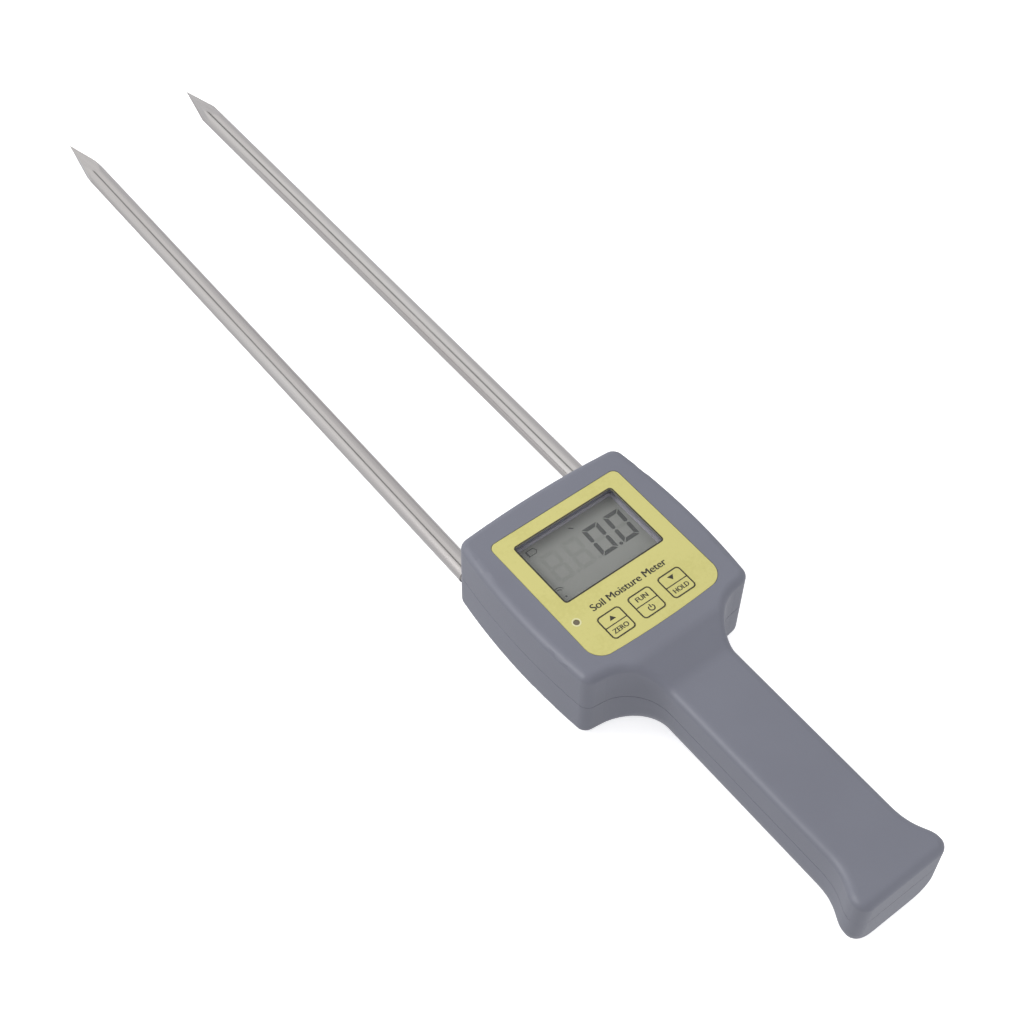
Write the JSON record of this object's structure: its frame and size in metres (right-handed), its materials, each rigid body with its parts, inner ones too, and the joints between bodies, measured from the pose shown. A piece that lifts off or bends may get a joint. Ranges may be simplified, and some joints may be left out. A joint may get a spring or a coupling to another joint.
{
  "type": "soil moisture meter",
  "caption": "Handheld soil moisture meter: grey two-shell case with a display panel and keys, a flared straight handle and long parallel steel probes.",
  "frame": {"origin": "under the middle of the whole length, on the flat back of the case", "axes": "+Y from the handle to the probe tips, +Z out of the display panel, +X to the right when the display is read"},
  "size_m": [0.0746, 0.462, 0.035],
  "materials": {
    "case": "fine matt moulded plastic",
    "label": "satin printed polyester",
    "key_pad": "satin printed polyester",
    "window": "clear acrylic",
    "indicator": "tinted lens",
    "lcd_glass": "reflective liquid-crystal display",
    "bezel_plastic": "matt",
    "reflector": "satin",
    "rubber_strip": "soft",
    "circuit_board": "solder mask",
    "fastener_steel": "zinc plated",
    "stainless_steel": "drawn and polished lengthwise",
    "tin_plate": "bright",
    "copper_wire": "enamelled wire",
    "capacitor_sleeve": "shrunk sleeve",
    "black_plastic": "matt",
    "switch_stem": "matt",
    "battery_jacket": "painted jacket",
    "foam": "closed-cell foam",
    "red_lead": "smooth insulation",
    "black_lead": "smooth insulation"
  },
  "bodies": {
    "meter": {"front_case": "case", "rear_case": "case", "case_screws": "fastener_steel", "panel_label": "label", "display_window": "window", "indicator_led": "indicator", "lcd_panel": "lcd_glass", "lcd_frame": "bezel_plastic", "lcd_reflector": "reflector", "zebra_strips": "rubber_strip", "main_circuit_board": "circuit_board", "circuit_board_screws": "fastener_steel", "meter_chip": "black_plastic", "crystal_can": "tin_plate", "tuning_coil": "copper_wire", "smoothing_capacitor": "capacitor_sleeve", "battery": "battery_jacket", "battery_snap": "black_plastic", "battery_pad": "foam", "battery_lead_positive": "red_lead", "battery_lead_negative": "black_lead", "switch_body_zero_up": "black_plastic", "switch_body_function_power": "black_plastic", "switch_body_hold_down": "black_plastic", "left_probe": "stainless_steel", "left_probe_nut": "fastener_steel", "left_probe_terminal": "tin_plate", "left_probe_lead": "red_lead", "right_probe": "stainless_steel", "right_probe_nut": "fastener_steel", "right_probe_terminal": "tin_plate", "right_probe_lead": "red_lead"},
    "door": {"battery_door": "case"},
    "key_zero_up": {"key_zero_up": "key_pad", "switch_stem_zero_up": "switch_stem"},
    "key_function_power": {"key_function_power": "key_pad", "switch_stem_function_power": "switch_stem"},
    "key_hold_down": {"key_hold_down": "key_pad", "switch_stem_hold_down": "switch_stem"}
  },
  "joints": [
    {"name": "battery_door_hinge", "type": "hinge", "parent": "meter", "child": "door", "pos_m": [0, -0.11665, 0], "axis": [-1, 0, 0], "range_deg": [0, 60]},
    {"name": "key_zero_up_press", "type": "slide", "parent": "meter", "child": "key_zero_up", "axis": [0, 0, -1], "range_m": [0, 0.00035], "stiffness_N_per_m": 2000, "springref_m": -0.0002},
    {"name": "key_function_power_press", "type": "slide", "parent": "meter", "child": "key_function_power", "axis": [0, 0, -1], "range_m": [0, 0.00035], "stiffness_N_per_m": 2000, "springref_m": -0.0002},
    {"name": "key_hold_down_press", "type": "slide", "parent": "meter", "child": "key_hold_down", "axis": [0, 0, -1], "range_m": [0, 0.00035], "stiffness_N_per_m": 2000, "springref_m": -0.0002}
  ]
}
